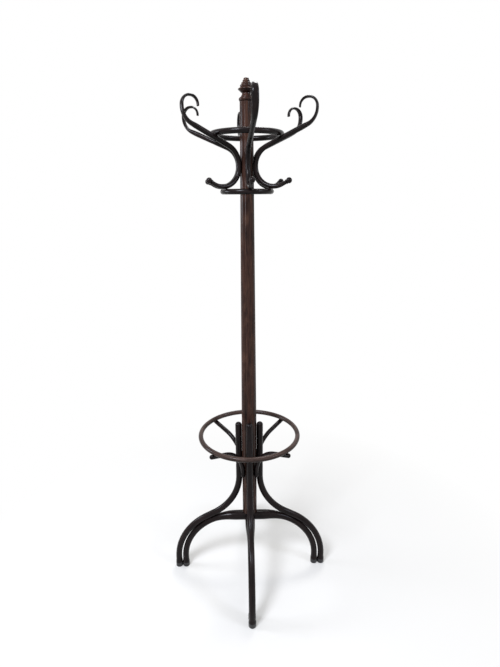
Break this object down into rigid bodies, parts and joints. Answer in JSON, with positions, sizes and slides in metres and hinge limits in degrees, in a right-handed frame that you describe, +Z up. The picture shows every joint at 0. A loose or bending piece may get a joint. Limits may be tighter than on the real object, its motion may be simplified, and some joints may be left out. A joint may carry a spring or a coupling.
{
  "type": "standing coat rack",
  "caption": "Free-standing bentwood coat rack: a reeded post with S-shaped hooks, crossed arch legs and an umbrella ring.",
  "frame": {"origin": "on the floor, on the axis of the post", "axes": "+Z up, +X and +Y along two neighbouring legs"},
  "size_m": [0.6442, 0.6442, 1.9],
  "materials": {
    "bent_beech": "dark stain under semi-gloss lacquer",
    "turned_beech": "dark stain under semi-gloss lacquer",
    "ring_beech": "dark stain under semi-gloss lacquer",
    "raw_beech": "planed",
    "foot_cap": "satin",
    "screw_steel": "browned",
    "bolt_steel": "zinc plated"
  },
  "bodies": {
    "root": {"hook_1": "bent_beech", "hook_2": "bent_beech", "hook_3": "bent_beech", "hook_4": "bent_beech", "hook_5": "bent_beech", "hook_6": "bent_beech", "top_ring": "bent_beech", "small_ring": "bent_beech", "leg_1": "bent_beech", "leg_2": "bent_beech", "leg_3": "bent_beech", "leg_4": "bent_beech", "arch_side_to_side": "bent_beech", "arch_front_to_back": "bent_beech", "umbrella_bracket_1": "bent_beech", "umbrella_bracket_2": "bent_beech", "umbrella_bracket_3": "bent_beech", "umbrella_bracket_4": "bent_beech", "umbrella_ring": "ring_beech", "post": "turned_beech", "finial": "turned_beech", "finial_dowel": "raw_beech", "leg_foot_cap_1": "foot_cap", "leg_foot_cap_2": "foot_cap", "leg_foot_cap_3": "foot_cap", "leg_foot_cap_4": "foot_cap", "arch_foot_cap_1": "foot_cap", "arch_foot_cap_2": "foot_cap", "arch_foot_cap_3": "foot_cap", "arch_foot_cap_4": "foot_cap", "hook_to_post_screws": "screw_steel", "top_ring_screws": "screw_steel", "small_ring_screws": "screw_steel", "leg_to_arch_screws": "screw_steel", "leg_to_post_screws": "screw_steel", "bracket_to_post_screws": "screw_steel", "umbrella_ring_screws": "screw_steel", "centre_bolt": "bolt_steel", "centre_washer": "bolt_steel"}
  },
  "joints": []
}
